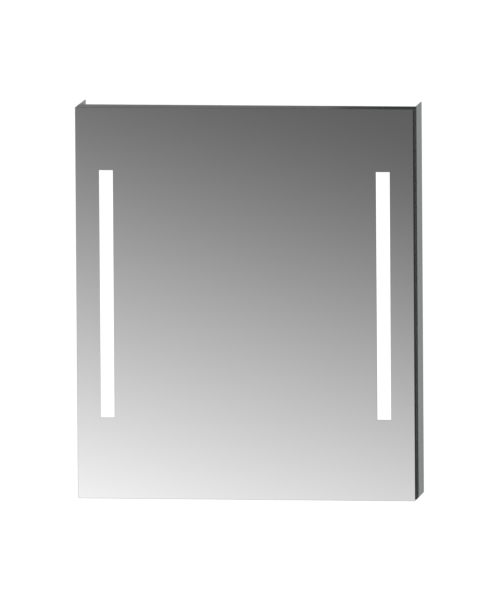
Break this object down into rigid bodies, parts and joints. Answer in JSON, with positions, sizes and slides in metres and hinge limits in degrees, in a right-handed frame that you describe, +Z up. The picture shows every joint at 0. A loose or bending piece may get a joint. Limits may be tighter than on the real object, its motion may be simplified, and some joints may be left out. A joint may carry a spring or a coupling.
{
  "type": "medicine cabinet",
  "caption": "Wall-hung bathroom medicine cabinet with a full mirror door, upright light strips behind satin windows, glass shelves and a switch underneath.",
  "frame": {"origin": "on the wall plane, halfway between the wall rail's screw holes", "axes": "+Z up, +Y into the wall, +X to the right of someone facing the mirror"},
  "size_m": [0.703, 0.15, 0.81],
  "materials": {
    "mirror": "silvered float glass with a polished edge",
    "satin_glass": "sandblasted, lit white from behind",
    "foam_tape": "foam",
    "dark_aluminium": "dark anodised, semi-gloss",
    "bright_aluminium": "mill finish",
    "cheek_aluminium": "brushed and anodised grey",
    "white_aluminium": "white stoved lacquer",
    "white_board": "moisture-resistant board with a satin white foil",
    "shelf_glass": "clear toughened glass",
    "steel": "nickel plated",
    "white_steel": "white powder coat",
    "opal_plastic": "opal, lit from behind",
    "circuit_board": "white solder mask",
    "led": "yellow phosphor",
    "grey_plastic": "moulded",
    "clear_rubber": "translucent",
    "dark_rubber": "moulded",
    "dark_plastic": "moulded",
    "white_pvc": "smooth sheath"
  },
  "bodies": {
    "cabinet": {"front_rail_bottom": "dark_aluminium", "front_stile_right": "dark_aluminium", "front_rail_top": "dark_aluminium", "front_stile_left": "dark_aluminium", "front_corner_keys": "bright_aluminium", "side_cheek_left": "cheek_aluminium", "side_cheek_right": "cheek_aluminium", "top_board": "white_board", "bottom_board": "white_board", "back_panel": "white_board", "partition_left": "white_board", "partition_right": "white_board", "shelf_lower": "shelf_glass", "shelf_middle": "shelf_glass", "shelf_upper": "shelf_glass", "shelf_pins": "steel", "light_fascia_left": "white_steel", "light_fascia_right": "white_steel", "light_channel_left": "bright_aluminium", "light_channel_right": "bright_aluminium", "diffuser_left": "opal_plastic", "diffuser_right": "opal_plastic", "led_boards": "circuit_board", "led_chips": "led", "light_end_caps": "grey_plastic", "hinge_frame_leaves": "steel", "hinge_pins": "steel", "magnetic_catches": "grey_plastic", "catch_magnets": "steel", "body_rail": "bright_aluminium", "wall_rail": "bright_aluminium", "wall_buffers": "dark_rubber", "corner_angles": "bright_aluminium", "carcass_screws": "steel", "led_driver": "grey_plastic", "terminal_block": "grey_plastic", "driver_cover": "white_steel", "cable_gland": "dark_plastic", "cable_grommets": "dark_rubber", "light_cable_left": "white_pvc", "light_cable_right": "white_pvc", "switch_cable": "white_pvc", "switch_body": "dark_plastic"},
    "door": {"mirror_glass": "mirror", "satin_window_left": "satin_glass", "satin_window_right": "satin_glass", "mirror_tape": "foam_tape", "door_rail_bottom": "dark_aluminium", "door_stile_right": "dark_aluminium", "door_rail_top": "dark_aluminium", "door_stile_left": "dark_aluminium", "door_corner_keys": "bright_aluminium", "door_inner_panel": "white_aluminium", "door_bumpers": "clear_rubber", "strike_plates": "steel", "hinge_door_leaves": "steel", "door_screws": "steel"},
    "rocker": {"switch_rocker": "dark_plastic"}
  },
  "joints": [
    {"name": "door_hinge", "type": "hinge", "parent": "cabinet", "child": "door", "pos_m": [-0.35, -0.12675, 0], "axis": [0, 0, -1], "range_deg": [0, 105]},
    {"name": "switch_tilt", "type": "hinge", "parent": "cabinet", "child": "rocker", "pos_m": [0.3, -0.05, -0.665], "axis": [0, 1, 0], "range_deg": [0, 14]}
  ]
}
